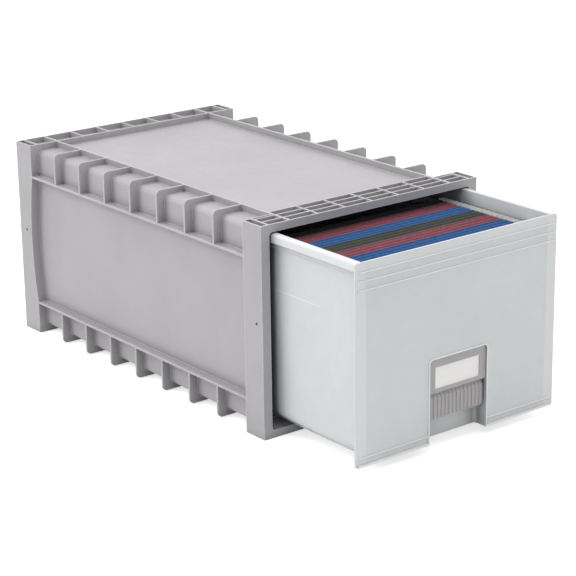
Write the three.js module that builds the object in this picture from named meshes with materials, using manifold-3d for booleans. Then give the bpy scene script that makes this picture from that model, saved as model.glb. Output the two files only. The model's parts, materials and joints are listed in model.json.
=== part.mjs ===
// Stackable plastic filing drawer, pulled part of the way out, with hanging folders in it.
// Millimetres, +Z up. X is the width, the drawer opens towards -Y.
// The origin is under the middle of the whole thing as it stands, on the surface it stands on.
import * as THREE from "three";
import { mergeVertices } from "three/addons/utils/BufferGeometryUtils.js";
import Module from "manifold-3d";

const wasm = await Module();
wasm.setup();

// Housing: outer size
const housingWidth = 384;
const housingDepth = 616;
const housingHeight = 300;
const wall = 2.2;

// Housing: the frames at its two ends, which reach the full outer size
const frontFrameDepth = 40;
const rearFrameDepth = 41;
const postWaist = 9;
const frameSideRail = 14;
const frameEndRail = 11;
const openingCornerRadius = 5;
const webThickness = 3;
const postHoleRadius = 2.5;
const postHoleHeight = 163;
const frontPostHoleInset = 13;
const rearPostHoleInset = 18;
const rearRecessDepth = 12;
const rearRecessBorder = 10;

// Housing: the shell between the frames, with its ledges, ribs and stacking borders
const shellSideInset = 14;
const shellEndInset = 10;
const shellCornerRadius = 8;
const cavityCornerRadius = 4;
const ledgeDistance = 51;
const ledgeThickness = 3;
const ledgeSetback = 0.5;
const ribCount = 7;
const ribThickness = 2.8;
const ribSetback = 0.5;
const ribDrop = 1;
const ribCornerRadius = 7;
const borderDistance = 50;
const borderThickness = 2.6;
const borderShelfDepth = 10;

// Housing: the open grid in the end rails
const gridColumns = 6;
const gridRows = 3;
const gridWall = 2.2;

// Drawer
const drawerOut = 173;
const drawerTravel = 470;
const drawerLength = 590;
const panelThickness = 3;
const panelSideGap = 1;
const panelBottomGap = 0.4;
const panelCornerRadius = 4;
const drawerWall = 2.5;
const rimSideGap = 1;
const rimTopGap = 0.8;
const rimOverhang = 6.8;
const lipHeight = 12;
const bandDrop = 20;
const bandProud = 1;
const creaseDrop = 78;
const wallDraft = 2;
const tubCornerRadius = 14;
const runnerGap = 0.3;
const runnerHeight = 11.5;
const runnerWidth = 4;
const runnerInset = 12;
const stopGap = 0.5;
const stopWidth = 18;
const stopThickness = 5;
const stopDrop = 10.8;
const stopSpread = 120;

// Drawer: hanging rails, moulded along both side walls
const railInset = 9.5;
const railThickness = 2;
const railDrop = 22.5;
const railShelfDrop = 37;

// Drawer: raised lines on the front panel
const lineProud = 1.2;
const lineHeight = 1.6;
const linePitch = 12;
const lineCount = 3;
const lineMargin = 4;
const bottomBeadHeight = 3.5;

// Drawer: the finger recess in the front panel
const notchWidth = 102;
const notchHeight = 118;
const notchDepth = 21;
const notchCornerRadius = 5;
const notchRimWidth = 2;

// Label holder and grip, one insert in the recess
const seatGap = 0.3;
const insertSetback = 1.5;
const insertWall = 2;
const bezelThickness = 1;
const cardSlot = 1.1;
const holderBack = 1.6;
const holderHeight = 48;
const windowWidth = 79;
const windowHeight = 30.4;
const windowDrop = 12.5;
const cardThickness = 0.5;
const cardMargin = 2.5;
const gripDrop = 87;
const gripThickness = 2.4;
const gripInset = 1.2;
const gripCornerRadius = 6;
const gripSetback = 3.5;
const gripLean = 4.5;
const gripLeanHeight = 10;
const fluteCount = 14;
const flutePitch = 6.8;
const fluteWidth = 3.2;
const fluteProud = 0.9;
const fluteLift = 0.6;

// Hanging folders
const paperSideGap = 6;
const paperHeight = 238;
const paper = 0.6;
const pocketGap = 2.4;
const hemDrop = 18.6;
const barThickness = 1.2;
const barHeight = 9;
const barGap = 0.3;
const hookTop = 0.6;
const hookThickness = 3.4;
const hookReach = 4.4;
const folderPitch = 9.4;
const firstFolder = 38.2;

// Colours, from the front folder to the rear one
const blue = 0x2f5f9a;
const maroon = 0x7c4350;
const olive = 0x3f423a;
const black = 0x25262a;
const folderColours = [
  ...Array(4).fill(blue),
  ...Array(3).fill(maroon),
  ...Array(3).fill(olive),
  ...Array(3).fill(blue),
  ...Array(3).fill(maroon),
  ...Array(2).fill(black),
];

// Places that several pieces share
const halfWidth = housingWidth / 2;
const frontY = (drawerOut + lineProud - housingDepth) / 2;
const rearY = frontY + housingDepth;
const openingHalf = halfWidth - frameSideRail;
const openingBottom = frameEndRail;
const openingTop = housingHeight - frameEndRail;
const shellHalf = halfWidth - shellSideInset;
const shellBottom = shellEndInset;
const shellTop = housingHeight - shellEndInset;
const cavityHalf = Math.min(shellHalf, openingHalf) - wall;
const cavityBottom = Math.max(shellBottom, openingBottom - 1) + wall;
const cavityTop = Math.min(shellTop, openingTop + 1) - wall;
const cavityRearY = rearY - rearRecessDepth - wall;
const borderHalf = halfWidth - borderDistance;
const panelY = frontY - drawerOut;
const drawerRearY = panelY + drawerLength;
const panelHalf = openingHalf - panelSideGap;
const panelBottom = openingBottom + panelBottomGap;
const rimTop = cavityTop - rimTopGap;
const rimHalf = cavityHalf - rimSideGap;
const rimCornerRadius = cavityCornerRadius - rimTopGap;
const tubHalf = rimHalf - rimOverhang;
const tubBottom = cavityBottom + runnerGap + runnerHeight;
const runnerHalf = tubHalf - wallDraft - tubCornerRadius - runnerInset;
const railHalf = tubHalf - drawerWall - railInset;
const paperHalf = railHalf - railThickness / 2 - paperSideGap;
const rearWallY = drawerRearY - rimOverhang - drawerWall;
const notchTop = panelBottom + notchHeight;
const notchBackY = panelY + notchDepth;

// A closed geometry as a solid that can be joined and cut
function toSolid(geometry) {
  const bare = geometry.clone();
  bare.deleteAttribute("normal");
  bare.deleteAttribute("uv");
  const merged = mergeVertices(bare, 1e-4);
  const vertProperties = new Float32Array(merged.attributes.position.array);
  const triVerts = new Uint32Array(merged.index.array);
  return new wasm.Manifold(new wasm.Mesh({ numProp: 3, vertProperties, triVerts }));
}

// A solid back as a geometry
function toGeometry(solid) {
  const mesh = solid.getMesh();
  const geometry = new THREE.BufferGeometry();
  geometry.setAttribute("position", new THREE.BufferAttribute(new Float32Array(mesh.vertProperties), 3));
  geometry.setIndex(new THREE.BufferAttribute(new Uint32Array(mesh.triVerts), 1));
  geometry.computeVertexNormals();
  return geometry;
}

function join(solids) {
  return solids.reduce((sum, next) => sum.add(next));
}

function box(x0, x1, y0, y1, z0, z1) {
  const geometry = new THREE.BoxGeometry(x1 - x0, y1 - y0, z1 - z0);
  geometry.translate((x0 + x1) / 2, (y0 + y1) / 2, (z0 + z1) / 2);
  return toSolid(geometry);
}

// A box with its twin on the other side of the middle plane
function boxPair(x0, x1, y0, y1, z0, z1) {
  return box(x0, x1, y0, y1, z0, z1).add(box(-x1, -x0, y0, y1, z0, z1));
}

// Extrusions: the shape is drawn across the direction that it is pushed along
function extrude(shape, length, curveSegments, basis, shift) {
  const geometry = new THREE.ExtrudeGeometry(shape, { depth: length, bevelEnabled: false, curveSegments });
  geometry.applyMatrix4(new THREE.Matrix4().makeBasis(...basis));
  geometry.translate(...shift);
  return toSolid(geometry);
}

const unitX = new THREE.Vector3(1, 0, 0);
const unitY = new THREE.Vector3(0, 1, 0);
const unitZ = new THREE.Vector3(0, 0, 1);

// Drawn in X and Z, pushed from y0 to y1
function extrudeY(shape, y0, y1, curveSegments = 5) {
  return extrude(shape, y1 - y0, curveSegments, [unitX, unitZ, unitY.clone().negate()], [0, y1, 0]);
}

// Drawn in Y and Z, pushed from x0 to x1
function extrudeX(shape, x0, x1, curveSegments = 5) {
  return extrude(shape, x1 - x0, curveSegments, [unitY, unitZ, unitX], [x0, 0, 0]);
}

// Drawn in X and Y, pushed from z0 to z1
function extrudeZ(shape, z0, z1, curveSegments = 5) {
  return extrude(shape, z1 - z0, curveSegments, [unitX, unitY, unitZ], [0, 0, z0]);
}

// A rectangle whose corners are rounded: one radius for the two low ones and one for the two high ones
function roundedRectangle(x0, y0, x1, y1, lowRadius, highRadius = lowRadius) {
  const shape = new THREE.Shape();
  const corner = (x, y, radius, from) => {
    if (radius > 0) {
      shape.absarc(x, y, radius, from, from + Math.PI / 2, false);
    } else {
      shape.lineTo(x, y);
    }
  };
  shape.moveTo(x0 + lowRadius, y0);
  corner(x1 - lowRadius, y0 + lowRadius, lowRadius, -Math.PI / 2);
  corner(x1 - highRadius, y1 - highRadius, highRadius, 0);
  corner(x0 + highRadius, y1 - highRadius, highRadius, Math.PI / 2);
  corner(x0 + lowRadius, y0 + lowRadius, lowRadius, Math.PI);
  return shape;
}

function polygon(points) {
  return new THREE.Shape(points.map(([x, y]) => new THREE.Vector2(x, y)));
}

// Housing: seven ribs wrap each long edge, from one ledge over the corner to the stacking border
function ribs() {
  const first = frontY + frontFrameDepth;
  const pitch = (housingDepth - frontFrameDepth - rearFrameDepth) / (ribCount + 1);
  const reach = halfWidth - ribSetback;
  const outline = roundedRectangle(-reach, ribDrop, reach, housingHeight - ribDrop, ribCornerRadius);
  const rings = [];
  for (let i = 1; i <= ribCount; i += 1) {
    const y = first + i * pitch;
    rings.push(extrudeY(outline, y - ribThickness / 2, y + ribThickness / 2));
  }
  const sideBays = boxPair(shellHalf, halfWidth + 1, frontY, rearY,
    ledgeDistance, housingHeight - ledgeDistance);
  const topTray = box(-borderHalf, borderHalf, frontY, rearY, shellTop, housingHeight + 1);
  const bottomTray = box(-borderHalf, borderHalf, frontY, rearY, -1, shellBottom);
  return join(rings).subtract(sideBays).subtract(topTray).subtract(bottomTray);
}

// Housing: two ledges along each side, and a border wall along each side of the top and the underside
function ledgesAndBorders() {
  const from = frontY + frontFrameDepth - 1;
  const to = rearY - rearFrameDepth + postWaist + 1;
  const reach = halfWidth - ledgeSetback;
  const inner = cavityHalf;
  const lowLedge = boxPair(inner, reach, from, to, ledgeDistance - ledgeThickness, ledgeDistance);
  const highLedge = boxPair(inner, reach, from, to, housingHeight - ledgeDistance,
    housingHeight - ledgeDistance + ledgeThickness);
  const lowBorder = boxPair(borderHalf, borderHalf + borderThickness, from, to, 0, cavityBottom);
  const highBorder = boxPair(borderHalf, borderHalf + borderThickness, from, to, cavityTop, housingHeight);
  return join([lowLedge, highLedge, lowBorder, highBorder]);
}

// Housing: side view of a rear post, whose front edge is waisted between the ledges
function rearPostOutline(shrink) {
  const front = rearY - rearFrameDepth + shrink;
  const back = rearY - shrink;
  const middle = housingHeight / 2;
  const shape = new THREE.Shape();
  shape.moveTo(front, -1);
  shape.lineTo(back, -1);
  shape.lineTo(back, housingHeight + 1);
  shape.lineTo(front, housingHeight + 1);
  shape.lineTo(front, housingHeight - ledgeDistance);
  shape.quadraticCurveTo(front + 2 * postWaist, middle, front, ledgeDistance);
  return shape;
}

// Housing: what is left open in the top or bottom rail of a frame, as cells between thin dividers
function gridCells(y0, y1, rows, outerY1) {
  const cells = [];
  const column = 2 * borderHalf / gridColumns;
  const row = (y1 - y0 - gridWall) / rows;
  const depth = frameEndRail - wall;
  const levels = [[housingHeight - depth, housingHeight + 1], [-1, depth]];
  const addCell = (x0, x1, from, to) => {
    for (const [z0, z1] of levels) {
      cells.push(box(x0, x1, from, to, z0, z1));
    }
  };
  for (let r = 0; r < rows; r += 1) {
    const from = y0 + gridWall + r * row;
    const to = from + row - gridWall;
    for (let c = 0; c < gridColumns; c += 1) {
      const x = -borderHalf + c * column;
      addCell(x + gridWall / 2, x + column - gridWall / 2, from, to);
    }
    const outerTo = Math.min(to, outerY1 - gridWall);
    for (const side of [-1, 1]) {
      const near = borderHalf + borderThickness;
      const far = openingHalf - gridWall / 2;
      addCell(Math.min(side * near, side * far), Math.max(side * near, side * far), from, outerTo);
    }
  }
  return join(cells);
}

// Housing: a small round hole in the outer wall of a post
function postHole(side, y) {
  const geometry = new THREE.CylinderGeometry(postHoleRadius, postHoleRadius, wall + 4, 12);
  geometry.rotateZ(Math.PI / 2);
  geometry.translate(side * (halfWidth - wall / 2), y, postHoleHeight);
  return toSolid(geometry);
}

function housing() {
  const frameOutline = roundedRectangle(-halfWidth, 0, halfWidth, housingHeight, 1.5);
  const frontFrame = extrudeY(frameOutline, frontY, frontY + frontFrameDepth, 3);
  const gridShelf = box(-borderHalf - borderThickness, borderHalf + borderThickness,
    frontY + frontFrameDepth - 1, frontY + frontFrameDepth + borderShelfDepth, 0, housingHeight);
  const rearFrame = extrudeY(frameOutline, rearY - rearFrameDepth, rearY, 3)
    .intersect(extrudeX(rearPostOutline(0), -halfWidth - 1, halfWidth + 1, 10));
  const shell = extrudeY(roundedRectangle(-shellHalf, shellBottom, shellHalf, shellTop, shellCornerRadius),
    frontY + frontFrameDepth - 1, rearY - rearRecessDepth);
  const solid = join([frontFrame, gridShelf, rearFrame, shell, ledgesAndBorders(), ribs()]);

  const opening = extrudeY(roundedRectangle(-openingHalf, openingBottom, openingHalf, openingTop,
    openingCornerRadius), frontY - 1, frontY + frontFrameDepth - webThickness);
  const cavity = extrudeY(roundedRectangle(-cavityHalf, cavityBottom, cavityHalf, cavityTop,
    cavityCornerRadius), frontY + frontFrameDepth - webThickness - 1, cavityRearY);
  const rearRecess = extrudeY(roundedRectangle(-shellHalf + rearRecessBorder, shellBottom + rearRecessBorder,
    shellHalf - rearRecessBorder, shellTop - rearRecessBorder, shellCornerRadius),
  rearY - rearRecessDepth, rearY + 1);

  const postInner = Math.max(openingHalf, shellHalf) + wall;
  const postOuter = halfWidth - wall;
  const frontPostHollow = boxPair(postInner, postOuter, frontY + wall, frontY + frontFrameDepth - wall,
    -1, housingHeight + 1);
  const rearHollow = extrudeX(rearPostOutline(wall), postInner, postOuter, 10);
  const rearPostHollow = rearHollow.add(extrudeX(rearPostOutline(wall), -postOuter, -postInner, 10));
  const holes = [-1, 1].flatMap((side) => [
    postHole(side, frontY + frontPostHoleInset),
    postHole(side, rearY - rearPostHoleInset),
  ]);
  const frontGrid = gridCells(frontY, frontY + frontFrameDepth + borderShelfDepth, gridRows,
    frontY + frontFrameDepth);
  const rearGrid = gridCells(rearY - rearFrameDepth, rearY, 1, rearY);

  const stopRear = frontY + rearWallY - panelY - drawerTravel - stopGap;
  const stops = boxPair(stopSpread / 2 - stopWidth / 2, stopSpread / 2 + stopWidth / 2,
    stopRear - stopThickness, stopRear, cavityTop - stopDrop, cavityTop + wall / 2);

  return [opening, cavity, rearRecess, frontPostHollow, rearPostHollow, ...holes, frontGrid, rearGrid]
    .reduce((rest, cut) => rest.subtract(cut), solid)
    .add(stops);
}

// Drawer: half of the section across the tub, from the middle of its floor round the rim and back
function tubHalfSection() {
  const steps = 5;
  const bottomHalf = tubHalf - wallDraft;
  const arc = (radius, from, to) => {
    const points = [];
    for (let i = 0; i <= steps; i += 1) {
      const angle = from + (to - from) * i / steps;
      const x = bottomHalf - tubCornerRadius + radius * Math.cos(angle);
      points.push([x, tubBottom + tubCornerRadius + radius * Math.sin(angle)]);
    }
    return points;
  };
  const rimCorner = [0, 1, 2, 3].map((i) => [
    rimHalf - rimCornerRadius * (1 - Math.cos(i * Math.PI / 6)),
    rimTop - rimCornerRadius * (1 - Math.sin(i * Math.PI / 6)),
  ]);
  const innerHalf = tubHalf - drawerWall;
  const railTop = rimTop - railDrop;
  const shelfTop = rimTop - railShelfDrop + drawerWall;
  return [
    ...arc(tubCornerRadius, -Math.PI / 2, 0),
    [tubHalf, rimTop - creaseDrop],
    [tubHalf, rimTop - bandDrop],
    [tubHalf + bandProud, rimTop - bandDrop],
    [tubHalf + bandProud, rimTop - drawerWall],
    [rimHalf - drawerWall, rimTop - drawerWall],
    [rimHalf - drawerWall, rimTop - lipHeight],
    [rimHalf, rimTop - lipHeight],
    ...rimCorner,
    [innerHalf, rimTop],
    [innerHalf, shelfTop],
    [railHalf + railThickness / 2, shelfTop],
    [railHalf + railThickness / 2, railTop],
    [railHalf - railThickness / 2, railTop],
    [railHalf - railThickness / 2, rimTop - railShelfDrop],
    [innerHalf, rimTop - railShelfDrop],
    [innerHalf, rimTop - creaseDrop],
    ...arc(tubCornerRadius - drawerWall, 0, -Math.PI / 2),
  ];
}

function mirrored(points) {
  return points.map(([x, z]) => [-x, z]).reverse();
}

// Drawer: the tub, its rear wall and the rim that runs round behind it
function tub() {
  const half = tubHalfSection();
  const section = polygon([...half, ...mirrored(half)]);
  const long = extrudeY(section, panelY + panelThickness - 1, drawerRearY);
  const behind = rearWallY + drawerWall;
  const flangeUnder = rimTop - drawerWall;
  const underLip = box(-halfWidth, halfWidth, behind, drawerRearY + 1, 0, rimTop - lipHeight);
  const underFlange = box(-rimHalf + drawerWall, rimHalf - drawerWall, behind, drawerRearY - drawerWall,
    0, flangeUnder);
  const rearWallShape = roundedRectangle(-tubHalf + wallDraft, tubBottom, tubHalf - wallDraft, rimTop,
    tubCornerRadius, 0);
  const rearWall = extrudeY(rearWallShape, rearWallY, behind);
  const rearRimOutline = roundedRectangle(-rimHalf, rimTop - lipHeight, rimHalf, rimTop, 0, rimCornerRadius);
  const rearRim = extrudeY(rearRimOutline, rearWallY, drawerRearY, 3);
  const rearRimHollow = box(-rimHalf + drawerWall, rimHalf - drawerWall, behind, drawerRearY - drawerWall,
    0, flangeUnder);
  return long.subtract(underLip).subtract(underFlange).add(rearWall).add(rearRim.subtract(rearRimHollow));
}

// Drawer: the front panel with its raised lines and the raised edge round the recess
function frontPanel() {
  const panel = extrudeY(roundedRectangle(-panelHalf, panelBottom, panelHalf, rimTop, panelCornerRadius),
    panelY, panelY + panelThickness);
  const lineEnd = panelHalf - lineMargin;
  const lines = [];
  for (let i = 1; i <= lineCount; i += 1) {
    const z = rimTop - i * linePitch;
    lines.push(box(-lineEnd, lineEnd, panelY - lineProud, panelY + 1, z - lineHeight, z));
  }
  const low = panelBottom + linePitch;
  lines.push(box(-lineEnd, lineEnd, panelY - lineProud, panelY + 1, low, low + lineHeight));
  lines.push(box(-lineEnd, lineEnd, panelY - lineProud, panelY + 1, panelBottom, panelBottom + bottomBeadHeight));
  const rimHalfWidth = notchWidth / 2 + notchRimWidth;
  const rim = extrudeY(roundedRectangle(-rimHalfWidth, panelBottom, rimHalfWidth, notchTop + notchRimWidth,
    0, notchCornerRadius + notchRimWidth), panelY - lineProud, panelY + 1);
  return join([panel, ...lines, rim]);
}

// Drawer: the recess, rounded at its top corners seen from the front and at its rear corners seen from above
function recess(grow, bottom, front) {
  const half = notchWidth / 2 + grow;
  const radius = notchCornerRadius + grow;
  const fromFront = roundedRectangle(-half, bottom, half, notchTop + grow, 0, radius);
  const fromAbove = roundedRectangle(-half, front, half, notchBackY + grow, 0, radius);
  return extrudeY(fromFront, front, notchBackY + grow)
    .intersect(extrudeZ(fromAbove, bottom, notchTop + grow));
}

function drawer() {
  const runnerFrom = notchBackY + 2 * drawerWall;
  const runners = boxPair(runnerHalf - runnerWidth / 2, runnerHalf + runnerWidth / 2, runnerFrom,
    rearWallY + drawerWall, cavityBottom + runnerGap, tubBottom + drawerWall / 2);
  return join([tub(), frontPanel(), runners, recess(drawerWall, panelBottom, panelY + 1)])
    .subtract(recess(0, -1, panelY - lineProud - 1));
}

// Insert: side view of the grip that hangs under the label holder, or of a flute on its front
function gripOutline(proud, thickness, lift) {
  const front = panelY + insertSetback + gripSetback - proud;
  const back = front + thickness;
  const top = notchTop - holderHeight + insertWall / 2 - lift;
  const bend = notchTop - holderHeight - gripLeanHeight;
  const bottom = notchTop - gripDrop + lift;
  const round = gripThickness / 2;
  return polygon([
    [front + gripLean, top],
    [front + gripLean * 0.4, bend + gripLeanHeight * 0.4],
    [front, bend],
    [front, bottom + round],
    [front + round, bottom],
    [back - round / 2, bottom],
    [back, bottom + round],
    [back, bend],
    [back + gripLean * 0.4, bend + gripLeanHeight * 0.4],
    [back + gripLean, top],
  ]);
}

// Insert: label holder, open at the back, with the fluted grip below it
function pullHandle() {
  const half = notchWidth / 2 - seatGap;
  const top = notchTop - seatGap;
  const bottom = notchTop - holderHeight;
  const front = panelY + insertSetback;
  const plateBack = front + bezelThickness + cardSlot + holderBack;
  const back = notchBackY - seatGap;
  const radius = notchCornerRadius - seatGap;
  const fromFront = roundedRectangle(-half, bottom, half, top, 0, radius);
  const fromAbove = roundedRectangle(-half, front, half, back, 0, radius);
  const block = extrudeY(fromFront, front, back).intersect(extrudeZ(fromAbove, bottom, top));
  const innerHalf = half - insertWall;
  const hollow = box(-innerHalf, innerHalf, plateBack, back + 1, bottom + insertWall, top - insertWall);
  const shelfBack = front + gripSetback + gripLean + gripThickness + insertWall / 2;
  const behindShelf = box(-innerHalf, innerHalf, shelfBack, back + 1, bottom - 1, bottom + insertWall + 1);
  const windowTop = notchTop - windowDrop;
  const window = box(-windowWidth / 2, windowWidth / 2, front - 1, front + bezelThickness + cardSlot / 2,
    windowTop - windowHeight, windowTop);
  const slotHalf = windowWidth / 2 + cardMargin + seatGap;
  const slotBottom = windowTop - windowHeight - cardMargin - seatGap;
  const slot = box(-slotHalf, slotHalf, front + bezelThickness, front + bezelThickness + cardSlot,
    slotBottom, top + 1);
  const gripHalf = half - gripInset;
  const grip = extrudeX(gripOutline(0, gripThickness, 0), -gripHalf, gripHalf);
  const flutes = [];
  for (let i = 0; i < fluteCount; i += 1) {
    const x = (i - (fluteCount - 1) / 2) * flutePitch;
    const outline = gripOutline(fluteProud, fluteProud + gripThickness / 2, fluteLift);
    flutes.push(extrudeX(outline, x - fluteWidth / 2, x + fluteWidth / 2));
  }
  const ends = extrudeY(roundedRectangle(-gripHalf, notchTop - gripDrop, gripHalf, bottom + insertWall,
    gripCornerRadius, 0), front - 1, back);
  return block.subtract(hollow).subtract(behindShelf).subtract(window).subtract(slot)
    .add(grip.add(join(flutes)).intersect(ends));
}

function labelCard() {
  const half = windowWidth / 2 + cardMargin;
  const windowTop = notchTop - windowDrop;
  const bottom = windowTop - windowHeight - cardMargin;
  const y = panelY + insertSetback + bezelThickness + seatGap;
  return box(-half, half, y, y + cardThickness, bottom, windowTop + cardMargin);
}

// Folder: section of the folded sheet, with a hem along the top of each leaf for its bar
function folderOutline(y) {
  const top = rimTop - hemDrop;
  const bottom = top - paperHeight;
  const slotHalf = barThickness / 2 + barGap;
  const inner = pocketGap / 2;
  const hemOuter = inner + 2 * paper + 2 * slotHalf;
  const hemBottom = top - 2 * paper - barHeight - 2 * barGap;
  const leafOuter = inner + paper;
  const half = [
    [leafOuter, bottom + leafOuter],
    [leafOuter, hemBottom],
    [hemOuter, hemBottom],
    [hemOuter, top],
    [inner, top],
    [inner, bottom + leafOuter],
    [inner * 0.6, bottom + paper],
  ];
  const outer = [[-inner * 0.6, bottom], [inner * 0.6, bottom]];
  const right = half.map(([dy, z]) => [y + dy, z]);
  const left = half.map(([dy, z]) => [y - dy, z]).reverse();
  const shape = polygon([...outer.map(([dy, z]) => [y + dy, z]), ...right, ...left]);
  for (const side of [-1, 1]) {
    const centre = y + side * (inner + paper + slotHalf);
    const low = hemBottom + paper;
    const high = top - paper;
    const hole = [
      [centre - slotHalf, low],
      [centre - slotHalf, high],
      [centre + slotHalf, high],
      [centre + slotHalf, low],
    ];
    shape.holes.push(new THREE.Path(hole.map(([a, b]) => new THREE.Vector2(a, b))));
  }
  return shape;
}

// Folder: a flat bar whose ends hook over the rails
function hangerBar(y) {
  const paperTop = rimTop - hemDrop;
  const barTop = paperTop - paper - barGap;
  const barBottom = barTop - barHeight;
  const railTop = rimTop - railDrop;
  const hookZ = paperTop + hookTop;
  const seat = railTop + barGap;
  const railIn = railHalf - railThickness / 2 - barGap;
  const railOut = railHalf + railThickness / 2 + barGap;
  const end = railOut + hookReach;
  const neck = paperHalf + 1;
  const half = [
    [neck, barBottom],
    [railIn, barBottom],
    [railIn, seat],
    [railOut, seat],
    [railOut, seat - hookThickness],
    [end - 1, seat - hookThickness],
    [end, seat - hookThickness + 1.5],
    [end, hookZ - 1],
    [end - 1, hookZ],
    [neck + 1, hookZ],
    [neck, barTop],
  ];
  const shape = polygon([...half, ...mirrored(half)]);
  return extrudeY(shape, y - barThickness / 2, y + barThickness / 2);
}

const housingGrey = new THREE.MeshStandardMaterial({ color: 0xaeacb0, roughness: 0.55, metalness: 0 });
const drawerClear = new THREE.MeshStandardMaterial({ color: 0xcdd5d9, roughness: 0.4, metalness: 0 });
const insertGrey = new THREE.MeshStandardMaterial({ color: 0x8f8d90, roughness: 0.5, metalness: 0 });
const cardWhite = new THREE.MeshStandardMaterial({ color: 0xe6e5e1, roughness: 0.8, metalness: 0 });
const barWhite = new THREE.MeshStandardMaterial({ color: 0xdcdcda, roughness: 0.35, metalness: 0.1 });

function paperMaterial(colour) {
  return new THREE.MeshStandardMaterial({ color: colour, roughness: 0.85, metalness: 0 });
}

const fileBox = new THREE.Group();
fileBox.name = "hanging_file_drawer";

function addMesh(name, solid, material) {
  const flat = material.clone();
  flat.flatShading = true;
  const mesh = new THREE.Mesh(toGeometry(solid), flat);
  mesh.name = name;
  fileBox.add(mesh);
}

addMesh("housing", housing(), housingGrey);
addMesh("drawer", drawer(), drawerClear);
addMesh("pull_handle", pullHandle(), insertGrey);
addMesh("label_card", labelCard(), cardWhite);

const barOffset = pocketGap / 2 + paper + barGap + barThickness / 2;
folderColours.forEach((colour, i) => {
  const y = panelY + firstFolder + (i + 0.5) * folderPitch;
  const number = String(i + 1).padStart(2, "0");
  const sheet = extrudeX(folderOutline(y), -paperHalf, paperHalf);
  addMesh(`folder_${number}`, sheet, paperMaterial(colour));
  addMesh(`folder_${number}_front_bar`, hangerBar(y - barOffset), barWhite);
  addMesh(`folder_${number}_rear_bar`, hangerBar(y + barOffset), barWhite);
});

export default fileBox;
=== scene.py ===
"""Looks of the hanging file drawer: materials, paper folders, floor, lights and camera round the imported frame.

Everything is in metres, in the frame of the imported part: X is the width, the drawer opens towards -Y, Z is up.
"""

import json
import math

import bmesh
import bpy
from mathutils import Euler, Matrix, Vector


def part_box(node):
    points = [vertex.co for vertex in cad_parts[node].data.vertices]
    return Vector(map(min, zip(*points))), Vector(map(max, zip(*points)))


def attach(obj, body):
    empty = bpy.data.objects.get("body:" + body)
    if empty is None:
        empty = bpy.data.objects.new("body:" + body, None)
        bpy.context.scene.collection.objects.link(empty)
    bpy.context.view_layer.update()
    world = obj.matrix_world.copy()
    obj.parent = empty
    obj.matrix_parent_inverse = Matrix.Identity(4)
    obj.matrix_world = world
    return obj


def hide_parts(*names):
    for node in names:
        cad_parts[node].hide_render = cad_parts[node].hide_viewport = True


MM = 0.001

# The photograph's camera, placed from the housing's front left foot
CAMERA_FROM_FOOT = Vector((-1.4866, -1.9632, 1.0204))
CAMERA_TILT = 1.2550
CAMERA_ROLL = 0.0134
CAMERA_TURN = -0.6665
FOCAL_PIXELS = 1976.5
FRAME_PIXELS = 576
SENSOR_WIDTH = 36.0
CLIP_END = 100

# Drawer: where painted light makes its plastic look paler, and where its raised lines are painted as a highlight
RIM_BAND = 12 * MM
UNDER_RIM_BAND = 18 * MM
BAND_BLUR = 0.7 * MM
PANEL_MARGIN = 17 * MM
MARGIN_BLUR = 1.5 * MM
PANEL_BACK = 4 * MM
TUB_START = 25 * MM
TUB_WALL = 3 * MM
CREASE_DROP = 78 * MM
CREASE_START = 70 * MM
CREASE_FULL = 110 * MM
LINES_PROUD = 1.2 * MM

# Folders: the folded sheet round its two bars
PAPER = 0.6 * MM
HEM_HALF = 1.05 * MM
HEM_HEIGHT = 11.4 * MM
HEM_FOLD_STEPS = 6
LEAF_STEPS = 8
FOLD_STEPS = 5
SHEET_STEPS = 44

# Folders: how far their leaves wave, and where the wave dies out
LEAF_WAVE = 0.55 * MM
WAVE_START_DROP = 12 * MM
WAVE_FULL_DROP = 72 * MM
WAVE_END_HEIGHT = 20 * MM
WAVE_PHASE = 2.4

# Rounding of the moulded edges, as it shades
HOUSING_ROUND = 0.7 * MM
DRAWER_ROUND = 1.5 * MM
LINE_ROUND = 0.3 * MM
SMOOTH_ANGLE = math.radians(32)

# Reach of the painted shade in corners and pockets, and of the painted highlight along edges
HOUSING_SHADE_REACH = 16 * MM
PIT_SHADE_REACH = 4 * MM
DRAWER_SHADE_REACH = 40 * MM
HOUSING_HIGHLIGHT_REACH = 1.5 * MM
DRAWER_HIGHLIGHT_REACH = 1.4 * MM

# Depths of the fine grain and of the slow waves in the mouldings' faces
HOUSING_GRAIN = 0.035 * MM
HOUSING_WAVES = 0.9 * MM
DRAWER_GRAIN = 0.03 * MM
DRAWER_WAVES = 1.2 * MM
PAPER_GRAIN = 0.05 * MM
CARD_GRAIN = 0.02 * MM
BAR_GRAIN = 0.02 * MM

# Colours as they are seen on screen
HOUSING_TONES = {
    "middle": (0.678, 0.670, 0.680),
    "light": (0.692, 0.684, 0.694),
    "dark": (0.660, 0.652, 0.662),
    # Painted highlight along edges
    "edge": (0.970, 0.963, 0.970),
    # Painted shade in corners and pockets
    "painted_shade": (0.585, 0.575, 0.585),
    # Painted shade in holes and grooves
    "pit_shade": (0.100, 0.100, 0.110),
}
INSERT_TONES = {
    "middle": (0.672, 0.663, 0.668),
    "light": (0.686, 0.677, 0.682),
    "dark": (0.655, 0.646, 0.651),
    # Painted highlight along edges
    "edge": (0.800, 0.790, 0.800),
    # Painted shade in corners and pockets
    "painted_shade": (0.610, 0.600, 0.605),
    # Painted shade in holes and grooves
    "pit_shade": (0.100, 0.100, 0.110),
}
DRAWER_TONES = {
    "body": (0.890, 0.904, 0.911),
    "cloud": (0.914, 0.925, 0.930),
    "mottle": (0.866, 0.884, 0.894),
    # Painted light: paler where light comes through thin walls, and on the rim and crease
    "painted_light": (0.978, 0.980, 0.983),
    # Painted highlight on edges and raised lines
    "edge": (0.999, 0.999, 1.000),
    # Painted shade in corners and near the housing's mouth
    "painted_shade": (0.330, 0.345, 0.370),
}
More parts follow.
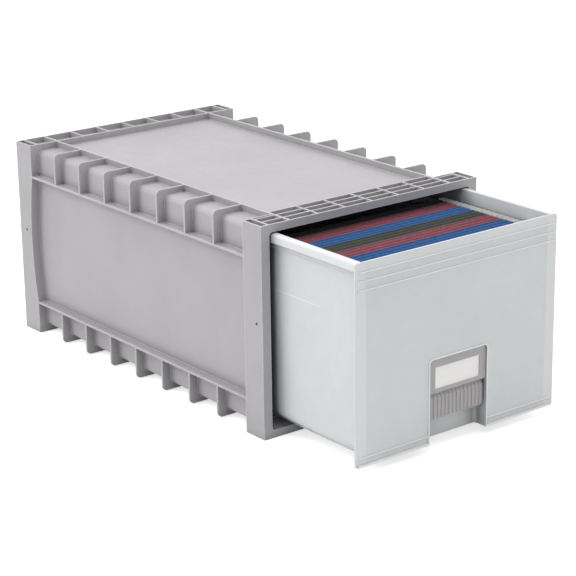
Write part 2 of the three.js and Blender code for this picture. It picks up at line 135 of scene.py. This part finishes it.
CARD_TONES = {
    "dark": (0.972, 0.968, 0.958),
    "light": (0.988, 0.985, 0.978),
}
BAR_TONES = {
    "coat": (0.890, 0.892, 0.890),
    "scuff": (0.640, 0.640, 0.645),
    # Painted highlight along edges
    "edge": (0.950, 0.950, 0.950),
}
FOLDER_COLOURS = {
    "folder_blue": (0.150, 0.330, 0.535),
    "folder_maroon": (0.500, 0.265, 0.315),
    "folder_olive": (0.225, 0.235, 0.205),
    "folder_black": (0.115, 0.115, 0.130),
}

# Share of the light that goes through the drawer's thin walls
DRAWER_TRANSLUCENCY = 0.16

# Studio: floor, world, and soft square lamps as name, place, target, size and power
WHITE = (1.0, 1.0, 1.0, 1.0)
BLACK = (0.0, 0.0, 0.0, 1.0)
FLOOR_SIZE = 30
FLOOR_COLOUR = (0.86, 0.86, 0.86, 1.0)
FLOOR_GLOW = 0.65
WORLD_LIGHT = 0.42
WORLD_SEEN = 1.0
LAMPS = [
    ("key_from_upper_left", (-2.2, 1.1, 2.1), (0, 0.0, 0.15), 1.8, 42),
    ("top_softbox", (0.2, 0.3, 2.6), (0, 0, 0.2), 2.4, 29),
    ("drawer_fill", (-0.5, -0.6, 1.4), (0.1, -0.3, 0.25), 0.6, 3.5),
    ("front_fill", (0.4, -3.0, 1.3), (0, -0.2, 0.15), 2.2, 9),
    ("right_fill", (2.4, -0.9, 1.6), (0, -0.2, 0.2), 1.6, 16),
]


def linear(colour):
    """A colour as it is seen on screen, from 0 to 1, as the linear RGBA that Blender's sockets take."""
    parts = [c / 12.92 if c <= 0.04045 else ((c + 0.055) / 1.055) ** 2.4 for c in colour]
    return (*parts, 1.0)


class Shader:
    """A material's node tree, with short calls for the nodes that the materials below share."""

    def __init__(self, name):
        self.material = bpy.data.materials.new(name)
        self.material.use_nodes = True
        self.tree = self.material.node_tree
        self.tree.nodes.clear()
        self.output = self.node("ShaderNodeOutputMaterial")
        self.surface = self.node("ShaderNodeBsdfPrincipled")
        self.link(self.surface.outputs[0], self.output.inputs["Surface"])
        self.place = self.node("ShaderNodeTexCoord").outputs["Object"]

    def node(self, kind, **settings):
        made = self.tree.nodes.new(kind)
        for key, value in settings.items():
            setattr(made, key, value)
        return made

    def link(self, source, target):
        self.tree.links.new(source, target)

    def stretched(self, scale):
        """The object's coordinates, scaled differently along X, Y and Z."""
        mapping = self.node("ShaderNodeMapping")
        mapping.inputs["Scale"].default_value = scale
        self.link(self.place, mapping.inputs["Vector"])
        return mapping.outputs["Vector"]

    def noise(self, scale, detail=3.0, roughness=0.55, vector=None):
        made = self.node("ShaderNodeTexNoise")
        made.inputs["Scale"].default_value = scale
        made.inputs["Detail"].default_value = detail
        made.inputs["Roughness"].default_value = roughness
        self.link(vector or self.place, made.inputs["Vector"])
        return made.outputs[0]

    def spread(self, value, low, high, out_low=0.0, out_high=1.0):
        """A value's stretch from low to high, taken to out_low to out_high and held there."""
        made = self.node("ShaderNodeMapRange")
        made.inputs["From Min"].default_value = low
        made.inputs["From Max"].default_value = high
        made.inputs["To Min"].default_value = out_low
        made.inputs["To Max"].default_value = out_high
        self.link(value, made.inputs["Value"])
        return made.outputs[0]

    def math(self, operation, first, second=0):
        made = self.node("ShaderNodeMath", operation=operation)
        for socket, value in zip(made.inputs, (first, second)):
            if isinstance(value, (int, float)):
                socket.default_value = value
            else:
                self.link(value, socket)
        return made.outputs[0]

    def mix(self, factor, first, second):
        """A colour between two, each a tuple or a socket."""
        made = self.node("ShaderNodeMix", data_type="RGBA")
        self.link(factor, made.inputs["Factor"])
        for socket, value in zip((made.inputs[6], made.inputs[7]), (first, second)):
            if isinstance(value, tuple):
                socket.default_value = value
            else:
                self.link(value, socket)
        return made.outputs[2]

    def mix_normals(self, factor, first, second):
        """A normal between two."""
        made = self.node("ShaderNodeMix", data_type="VECTOR")
        self.link(factor, made.inputs["Factor"])
        self.link(first, made.inputs[4])
        self.link(second, made.inputs[5])
        return made.outputs[1]

    def bump(self, height, distance, strength=1.0, normal=None):
        made = self.node("ShaderNodeBump")
        made.inputs["Strength"].default_value = strength
        made.inputs["Distance"].default_value = distance
        self.link(height, made.inputs["Height"])
        if normal is not None:
            self.link(normal, made.inputs["Normal"])
        return made.outputs[0]

    def rounded(self, radius):
        """The normal that the surface has with its edges rounded."""
        bevel = self.node("ShaderNodeBevel", samples=6)
        bevel.inputs["Radius"].default_value = radius
        return bevel.outputs[0]

    def edges(self, radius, low=0.02, high=0.35):
        """1 on the rounded edges of a piece and 0 on its flats."""
        bevel = self.node("ShaderNodeBevel", samples=4)
        bevel.inputs["Radius"].default_value = radius
        geometry = self.node("ShaderNodeNewGeometry")
        dot = self.node("ShaderNodeVectorMath", operation="DOT_PRODUCT")
        self.link(bevel.outputs[0], dot.inputs[0])
        self.link(geometry.outputs["True Normal"], dot.inputs[1])
        return self.spread(self.math("SUBTRACT", 1.0, dot.outputs["Value"]), low, high)

    def shelter(self, reach, low=0.25, high=0.95):
        """0 deep in corners and pockets, 1 out in the open."""
        made = self.node("ShaderNodeAmbientOcclusion", samples=6)
        made.inputs["Distance"].default_value = reach
        return self.spread(made.outputs["AO"], low, high)

    def set(self, **values):
        """Sets the main shader's sockets: a number or colour on the socket itself, anything else as a link."""
        for key, value in values.items():
            socket = self.surface.inputs[key.replace("_", " ")]
            if isinstance(value, (int, float, tuple)):
                socket.default_value = value
            else:
                self.link(value, socket)


def moulded_plastic(name, tones):
    """Satin moulded plastic: cloudy tone, fine spark-eroded grain, a painted highlight along edges, and painted
    shade in corners, pockets and holes.
    """
    s = Shader(name)
    clouds = s.spread(s.noise(9.0, 4.0, 0.6), 0.3, 0.7)
    streaks = s.spread(s.noise(30.0, 3.0, 0.5, s.stretched((0.6, 1.0, 3.0))), 0.3, 0.7)
    tone = s.mix(clouds, linear(tones["dark"]), linear(tones["light"]))
    tone = s.mix(s.math("MULTIPLY", streaks, 0.3), tone, linear(tones["middle"]))
    # Painted shade in corners and pockets
    tone = s.mix(s.shelter(HOUSING_SHADE_REACH), linear(tones["painted_shade"]), tone)
    # Painted highlight along the edges
    edge = s.edges(HOUSING_HIGHLIGHT_REACH, 0.005, 0.20)
    tone = s.mix(s.math("MULTIPLY", edge, 0.85), tone, linear(tones["edge"]))
    # Painted shade in holes and grooves
    tone = s.mix(s.shelter(PIT_SHADE_REACH, 0.12, 0.40), linear(tones["pit_shade"]), tone)
    fine = s.noise(1500.0, 2.0, 0.6)
    waves = s.noise(16.0, 2.0, 0.5)
    s.set(
        Base_Color=tone,
        Roughness=s.spread(s.noise(140.0, 3.0, 0.6), 0.3, 0.7, 0.40, 0.54),
        Specular_IOR_Level=0.45,
        Normal=s.bump(fine, HOUSING_GRAIN, 0.6, s.bump(waves, HOUSING_WAVES, 0.12, s.rounded(HOUSING_ROUND))),
    )
    return s.material


def painted_light(s, low, high):
    """Where painted light makes the drawer's plastic look paler, from 0 to 1, and a mask of the raised lines on
    its panel, painted as a highlight.
    """
    place = s.node("ShaderNodeSeparateXYZ")
    s.link(s.place, place.inputs[0])
    across, along, up = (place.outputs[axis] for axis in "XYZ")
    off_middle = s.math("ABSOLUTE", across)
    on_panel = s.spread(along, low.y + PANEL_BACK, low.y + PANEL_BACK + 0.6 * MM, 1.0, 0.0)
    behind_panel = s.spread(along, low.y + PANEL_BACK, low.y + PANEL_BACK + 0.6 * MM)

    rim_z = high.z - RIM_BAND
    rim = s.spread(up, rim_z - BAND_BLUR, rim_z + BAND_BLUR)
    under_z = high.z - UNDER_RIM_BAND
    under_rim = s.math("MULTIPLY", s.spread(up, under_z - BAND_BLUR, under_z + BAND_BLUR), behind_panel)

    tub_half = high.x - PANEL_MARGIN
    margin = s.math("MULTIPLY", s.spread(off_middle, tub_half - MARGIN_BLUR, tub_half + MARGIN_BLUR), on_panel)
    inner_half = tub_half - TUB_WALL
    within = s.spread(off_middle, inner_half - 0.5 * MM, inner_half + 0.5 * MM, 1.0, 0.0)
    inside = s.math("MULTIPLY", within, s.spread(along, low.y + TUB_START - MM, low.y + TUB_START + MM))

    from_crease = s.math("ABSOLUTE", s.math("SUBTRACT", up, high.z - CREASE_DROP))
    crease = s.spread(from_crease, 0.4 * MM, 1.1 * MM, 1.0, 0.0)
    crease = s.math("MULTIPLY", crease, s.spread(along, low.y + CREASE_START, low.y + CREASE_FULL))

    # Painted light: light through the thin rim, margins and tub walls, and a painted highlight on the rim bands
    # and the crease
    shares = ((rim, 0.35), (margin, 0.45), (under_rim, 0.5), (crease, 0.9), (inside, 1.0))
    painted_light_share = 0.0
    for mask, share in shares:
        painted_light_share = s.math("MAXIMUM", painted_light_share, s.math("MULTIPLY", mask, share))
    # The raised lines on the panel are painted white as a highlight
    lines = s.spread(along, low.y + 0.3 * LINES_PROUD, low.y + 0.8 * LINES_PROUD, 1.0, 0.0)
    return painted_light_share, inside, lines


def cloudy_plastic(name, low, high):
    """Natural polypropylene: pale, cloudy, and thin enough that light comes through it.

    The rim, the panel's margins beyond the tub, the crease along each side and the tub's inside are painted
    paler, as painted light; edges and raised lines get a painted highlight, and corners and the side near the
    housing get painted shade.
    """
    s = Shader(name)
    tones = {key: linear(colour) for key, colour in DRAWER_TONES.items()}
    flow = s.spread(s.noise(14.0, 5.0, 0.62, s.stretched((1.0, 1.0, 0.55))), 0.30, 0.70)
    mottle = s.spread(s.noise(75.0, 4.0, 0.65), 0.30, 0.70)
    tone = s.mix(flow, tones["body"], tones["cloud"])
    tone = s.mix(s.math("MULTIPLY", mottle, 0.35), tone, tones["mottle"])
    painted_light_share, inside, lines = painted_light(s, low, high)
    tone = s.mix(painted_light_share, tone, tones["painted_light"])
    # Painted shade in corners and along the side near the housing's mouth, kept off the tub's inside
    open_air = s.math("MAXIMUM", s.shelter(DRAWER_SHADE_REACH, 0.22, 0.72), s.math("MULTIPLY", inside, 0.85))
    tone = s.mix(open_air, tones["painted_shade"], tone)
    # Painted highlight on edges and on the panel's raised lines
    edge = s.math("MAXIMUM", s.edges(DRAWER_HIGHLIGHT_REACH, 0.005, 0.16), lines)
    tone = s.mix(edge, tone, tones["edge"])
    rough = s.spread(s.noise(90.0, 3.0, 0.6), 0.3, 0.7, 0.30, 0.42)
    fine = s.noise(1100.0, 2.0, 0.6)
    waves = s.noise(22.0, 3.0, 0.5)
    normal = s.mix_normals(lines, s.rounded(DRAWER_ROUND), s.rounded(LINE_ROUND))
    s.set(
        Base_Color=tone,
        Roughness=s.math("MULTIPLY", rough, s.spread(edge, 0.0, 1.0, 1.0, 0.5)),
        Specular_IOR_Level=0.6,
        Normal=s.bump(fine, DRAWER_GRAIN, 0.5, s.bump(waves, DRAWER_WAVES, 0.15, normal)),
    )
    through = s.node("ShaderNodeBsdfTranslucent")
    s.link(tone, through.inputs["Color"])
    both = s.node("ShaderNodeMixShader")
    both.inputs[0].default_value = DRAWER_TRANSLUCENCY
    s.link(s.surface.outputs[0], both.inputs[1])
    s.link(through.outputs[0], both.inputs[2])
    s.link(both.outputs[0], s.output.inputs["Surface"])
    return s.material


def pressboard(name, colour):
    """Coloured pressboard paper: long soft fibres, speckle, and folds paler along their edges, partly rubbed and
    partly a painted highlight.
    """
    s = Shader(name)
    dark = tuple(c * 0.86 for c in colour)
    light = tuple(min(1.0, c * 1.16 + 0.012) for c in colour)
    worn_and_highlight = tuple(min(1.0, c * 1.25 + 0.09) for c in colour)
    fibres = s.spread(s.noise(420.0, 4.0, 0.7, s.stretched((0.35, 1.0, 1.0))), 0.32, 0.68)
    speckle = s.spread(s.noise(1800.0, 2.0, 0.5), 0.56, 0.66)
    patches = s.spread(s.noise(18.0, 3.0, 0.5), 0.3, 0.7)
    tone = s.mix(fibres, linear(dark), linear(light))
    tone = s.mix(s.math("MULTIPLY", patches, 0.35), tone, linear(colour))
    tone = s.mix(s.math("MULTIPLY", speckle, 0.25), tone, linear(worn_and_highlight))
    # Edges paler, partly rubbed wear and partly a painted highlight
    tone = s.mix(s.math("MULTIPLY", s.edges(0.5 * MM), 0.5), tone, linear(worn_and_highlight))
    s.set(
        Base_Color=tone,
        Roughness=s.spread(fibres, 0.0, 1.0, 0.72, 0.88),
        Specular_IOR_Level=0.25,
        Sheen_Weight=0.12,
        Normal=s.bump(s.noise(900.0, 3.0, 0.6), PAPER_GRAIN, 0.7),
    )
    return s.material


def card_stock(name):
    """Plain white card with a faint fibre."""
    s = Shader(name)
    fibres = s.spread(s.noise(600.0, 4.0, 0.7, s.stretched((0.4, 1.0, 1.0))), 0.3, 0.7)
    tone = s.mix(fibres, linear(CARD_TONES["dark"]), linear(CARD_TONES["light"]))
    s.set(
        Base_Color=tone,
        Roughness=0.85,
        Specular_IOR_Level=0.2,
        Normal=s.bump(s.noise(1200.0, 2.0, 0.5), CARD_GRAIN, 0.6),
    )
    return s.material


def coated_bar(name):
    """Coated steel strip: pale, with small scuffs on its edges where it slides on the rail, and a painted
    highlight along its edges.
    """
    s = Shader(name)
    scuffs = s.spread(s.noise(260.0, 4.0, 0.65), 0.52, 0.64)
    tone = s.mix(s.math("MULTIPLY", scuffs, 0.4), linear(BAR_TONES["coat"]), linear(BAR_TONES["scuff"]))
    # Painted highlight along the bar's edges
    tone = s.mix(s.math("MULTIPLY", s.edges(0.4 * MM), 0.5), tone, linear(BAR_TONES["edge"]))
    s.set(
        Base_Color=tone,
        Roughness=s.spread(scuffs, 0.0, 1.0, 0.32, 0.5),
        Normal=s.bump(s.noise(700.0, 2.0, 0.5), BAR_GRAIN, 0.5),
    )
    return s.material


def smooth_group():
    """Node group that drops imported normals and shades smooth up to SMOOTH_ANGLE."""
    group = bpy.data.node_groups.new("smooth_by_angle", "GeometryNodeTree")
    group.interface.new_socket("Geometry", in_out="INPUT", socket_type="NodeSocketGeometry")
    group.interface.new_socket("Geometry", in_out="OUTPUT", socket_type="NodeSocketGeometry")
    start = group.nodes.new("NodeGroupInput")
    end = group.nodes.new("NodeGroupOutput")
    drop = group.nodes.new("GeometryNodeRemoveAttribute")
    drop.inputs["Name"].default_value = "custom_normal"
    faces = group.nodes.new("GeometryNodeSetShadeSmooth")
    faces.domain = "FACE"
    edges = group.nodes.new("GeometryNodeSetShadeSmooth")
    edges.domain = "EDGE"
    edges.inputs["Shade Smooth"].default_value = False
    angle = group.nodes.new("GeometryNodeInputMeshEdgeAngle")
    sharp = group.nodes.new("ShaderNodeMath")
    sharp.operation = "GREATER_THAN"
    sharp.inputs[1].default_value = SMOOTH_ANGLE
    links = group.links
    links.new(start.outputs[0], drop.inputs["Geometry"])
    links.new(drop.outputs[0], faces.inputs["Geometry"])
    links.new(faces.outputs[0], edges.inputs["Geometry"])
    links.new(angle.outputs["Unsigned Angle"], sharp.inputs[0])
    links.new(sharp.outputs[0], edges.inputs["Selection"])
    links.new(edges.outputs[0], end.inputs[0])
    return group


def shade_smooth(piece, smooth):
    """Shades a CAD node smooth by modifiers alone, so its own mesh stays as it is."""
    weld = piece.modifiers.new("weld", "WELD")
    weld.merge_threshold = 0.002 * MM
    shade = piece.modifiers.new("shade", "NODES")
    shade.node_group = smooth
    normals = piece.modifiers.new("normals", "WEIGHTED_NORMAL")
    normals.weight = 100
    normals.keep_sharp = True


def paint(piece, material):
    piece.data.materials.clear()
    piece.data.materials.append(material)


def folder_path(top, bottom, inner):
    """Side view of the folded sheet's middle line, as (y, z) points: hem, leaf, fold, leaf, hem."""
    hem_y = inner + PAPER / 2 + HEM_HALF
    fold_z = top - PAPER / 2 - HEM_HALF
    half = [(inner + PAPER / 2 + 2 * HEM_HALF, top - HEM_HEIGHT)]
    for i in range(HEM_FOLD_STEPS + 1):
        angle = math.pi * i / HEM_FOLD_STEPS
        half.append((hem_y + HEM_HALF * math.cos(angle), fold_z + HEM_HALF * math.sin(angle)))
    leaf = inner + PAPER / 2
    low = bottom + leaf
    for i in range(1, LEAF_STEPS + 1):
        half.append((leaf, fold_z + (low - fold_z) * i / LEAF_STEPS))
    for i in range(1, FOLD_STEPS + 1):
        angle = math.pi / 2 * i / FOLD_STEPS
        half.append((leaf * math.cos(angle), low - (low - bottom - PAPER / 2) * math.sin(angle)))
    rear = [(-y, z) for y, z in reversed(half[:-1])]
    return half + rear


def paper_folder(node, index, material):
    """A folded sheet in place of a CAD folder: rounded hems, and leaves that wave a little between them."""
    low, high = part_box(node)
    middle = (low.y + high.y) / 2
    inner = (high.y - low.y) / 2 - 2 * HEM_HALF - PAPER
    path = folder_path(high.z, low.z, inner)
    width = high.x - low.x
    phase = WAVE_PHASE * index
    mesh = bmesh.new()
    columns = []
    for i in range(SHEET_STEPS + 1):
        share = i / SHEET_STEPS
        x = low.x + width * share
        column = []
        for y, z in path:
            drop = (high.z - z - WAVE_START_DROP) / (WAVE_FULL_DROP - WAVE_START_DROP)
            ease = min(1.0, max(0.0, drop)) * min(1.0, (z - low.z) / WAVE_END_HEIGHT)
            wave = math.sin(5.2 * share * math.pi + phase) + 0.6 * math.sin(9.1 * share * math.pi + 2 * phase)
            shift = LEAF_WAVE * ease * wave * math.sin(26 * (z - low.z) + phase)
            column.append(mesh.verts.new((x, middle + y + shift, z)))
        columns.append(column)
    for first, second in zip(columns, columns[1:]):
        for a, b, c, d in zip(first, first[1:], second[1:], second):
            mesh.faces.new((a, b, c, d))
    bmesh.ops.recalc_face_normals(mesh, faces=mesh.faces)
    data = bpy.data.meshes.new(node + "_paper")
    mesh.to_mesh(data)
    mesh.free()
    data.shade_smooth()
    piece = bpy.data.objects.new(node + "_paper", data)
    bpy.context.scene.collection.objects.link(piece)
    thick = piece.modifiers.new("thickness", "SOLIDIFY")
    thick.thickness = PAPER * 0.9
    thick.offset = 0
    data.materials.append(material)
    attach(piece, "drawer")
    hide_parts(node)
    return piece


def floor_material():
    """White studio floor: it takes the object's shadow, and looks near white to the camera."""
    s = Shader("studio_floor")
    s.set(Base_Color=FLOOR_COLOUR, Roughness=0.9, Specular_IOR_Level=0.1)
    glow = s.node("ShaderNodeEmission")
    glow.inputs["Color"].default_value = WHITE
    glow.inputs["Strength"].default_value = FLOOR_GLOW
    ray = s.node("ShaderNodeLightPath")
    seen = s.math("MAXIMUM", ray.outputs["Is Camera Ray"], ray.outputs["Is Glossy Ray"])
    seen = s.math("MAXIMUM", seen, ray.outputs["Is Transmission Ray"])
    dim = s.node("ShaderNodeMixShader")
    s.link(seen, dim.inputs[0])
    black = s.node("ShaderNodeBsdfTransparent")
    black.inputs["Color"].default_value = BLACK
    s.link(black.outputs[0], dim.inputs[1])
    s.link(glow.outputs[0], dim.inputs[2])
    total = s.node("ShaderNodeAddShader")
    s.link(s.surface.outputs[0], total.inputs[0])
    s.link(dim.outputs[0], total.inputs[1])
    s.link(total.outputs[0], s.output.inputs["Surface"])
    return s.material


def studio():
    """Floor, white world and soft lamps."""
    bpy.ops.mesh.primitive_plane_add(size=FLOOR_SIZE, location=(0, 0, 0))
    floor = bpy.context.object
    floor.name = "studio_floor"
    floor.data.materials.append(floor_material())

    world = bpy.data.worlds.new("studio_world")
    bpy.context.scene.world = world
    world.use_nodes = True
    tree = world.node_tree
    tree.nodes.clear()
    out = tree.nodes.new("ShaderNodeOutputWorld")
    soft = tree.nodes.new("ShaderNodeBackground")
    soft.inputs["Color"].default_value = WHITE
    soft.inputs["Strength"].default_value = WORLD_LIGHT
    white = tree.nodes.new("ShaderNodeBackground")
    white.inputs["Color"].default_value = WHITE
    white.inputs["Strength"].default_value = WORLD_SEEN
    ray = tree.nodes.new("ShaderNodeLightPath")
    seen = tree.nodes.new("ShaderNodeMath")
    seen.operation = "MAXIMUM"
    tree.links.new(ray.outputs["Is Camera Ray"], seen.inputs[0])
    tree.links.new(ray.outputs["Is Glossy Ray"], seen.inputs[1])
    both = tree.nodes.new("ShaderNodeMixShader")
    tree.links.new(seen.outputs[0], both.inputs[0])
    tree.links.new(soft.outputs[0], both.inputs[1])
    tree.links.new(white.outputs[0], both.inputs[2])
    tree.links.new(both.outputs[0], out.inputs[0])

    for settings in LAMPS:
        lamp(*settings)


def lamp(name, place, target, size, power):
    """A soft square lamp that lights the object and isn't seen itself."""
    data = bpy.data.lights.new(name, "AREA")
    data.shape = "SQUARE"
    data.size = size
    data.energy = power
    made = bpy.data.objects.new(name, data)
    bpy.context.scene.collection.objects.link(made)
    made.location = place
    made.rotation_euler = (Vector(target) - Vector(place)).to_track_quat("-Z", "Y").to_euler()
    made.visible_camera = False


def camera(foot):
    """The photograph's camera, from the place of the housing's front left foot."""
    data = bpy.data.cameras.new("photo_camera")
    data.sensor_width = SENSOR_WIDTH
    data.lens = FOCAL_PIXELS / FRAME_PIXELS * SENSOR_WIDTH
    data.clip_end = CLIP_END
    made = bpy.data.objects.new("photo_camera", data)
    bpy.context.scene.collection.objects.link(made)
    made.location = foot + CAMERA_FROM_FOOT
    made.rotation_euler = Euler((CAMERA_TILT, CAMERA_ROLL, CAMERA_TURN), "XYZ")
    bpy.context.scene.camera = made


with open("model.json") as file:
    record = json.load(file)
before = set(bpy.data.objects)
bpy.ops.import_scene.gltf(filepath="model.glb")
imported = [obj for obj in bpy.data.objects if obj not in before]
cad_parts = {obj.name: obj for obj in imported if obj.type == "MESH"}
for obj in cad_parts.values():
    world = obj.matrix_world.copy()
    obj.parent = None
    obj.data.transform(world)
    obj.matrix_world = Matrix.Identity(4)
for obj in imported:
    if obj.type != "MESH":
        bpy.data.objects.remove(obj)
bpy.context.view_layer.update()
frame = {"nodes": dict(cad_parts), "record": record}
nodes = frame["nodes"]
slots = {row["node"]: row["material_slot"] for row in frame["record"]["subparts"]}

housing_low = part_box("housing")[0]
drawer_low, drawer_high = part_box("drawer")
camera(housing_low)
studio()

smooth = smooth_group()
materials = {
    "housing_plastic": moulded_plastic("housing_plastic", HOUSING_TONES),
    "drawer_plastic": cloudy_plastic("drawer_plastic", drawer_low, drawer_high),
    "insert_plastic": moulded_plastic("insert_plastic", INSERT_TONES),
    "card": card_stock("card"),
    "hanger_bar": coated_bar("hanger_bar"),
}
for slot_name, colour in FOLDER_COLOURS.items():
    materials[slot_name] = pressboard(slot_name, colour)

folder_index = 0
for name in sorted(nodes):
    piece = nodes[name]
    material = materials[slots[name]]
    if slots[name].startswith("folder_"):
        folder_index += 1
        paper = paper_folder(name, folder_index, material)
        continue
    paint(piece, material)
    shade_smooth(piece, smooth)

bpy.context.scene.view_settings.view_transform = "Standard"

bpy.context.view_layer.update()
